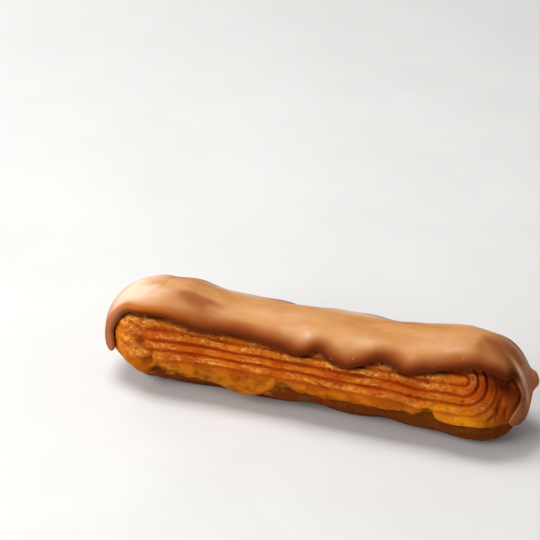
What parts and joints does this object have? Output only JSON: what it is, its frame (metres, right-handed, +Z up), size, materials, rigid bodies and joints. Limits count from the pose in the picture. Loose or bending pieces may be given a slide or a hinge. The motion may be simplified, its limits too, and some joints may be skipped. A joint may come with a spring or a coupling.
{
  "type": "coffee eclair",
  "caption": "Long round-ended choux bun with piped ribs along its sides and a thick coffee icing over its top that runs down at both ends.",
  "frame": {"origin": "on the flat base, at the centre of the length and of the width", "axes": "+X along the bun towards the end with the longer icing run and the knob, +Z up, -Y the side that the picture shows"},
  "size_m": [0.1446, 0.0348, 0.0343],
  "materials": {
    "choux": "baked choux crust: golden ribs, red-brown grooves, dark amber underside, matt with a faint egg-wash sheen",
    "icing": "set coffee fondant: milky light brown, darker at its rolled edge, smooth with a soft satin gloss"
  },
  "bodies": {
    "root": {"choux_bun": "choux", "coffee_icing": "icing"}
  },
  "joints": []
}
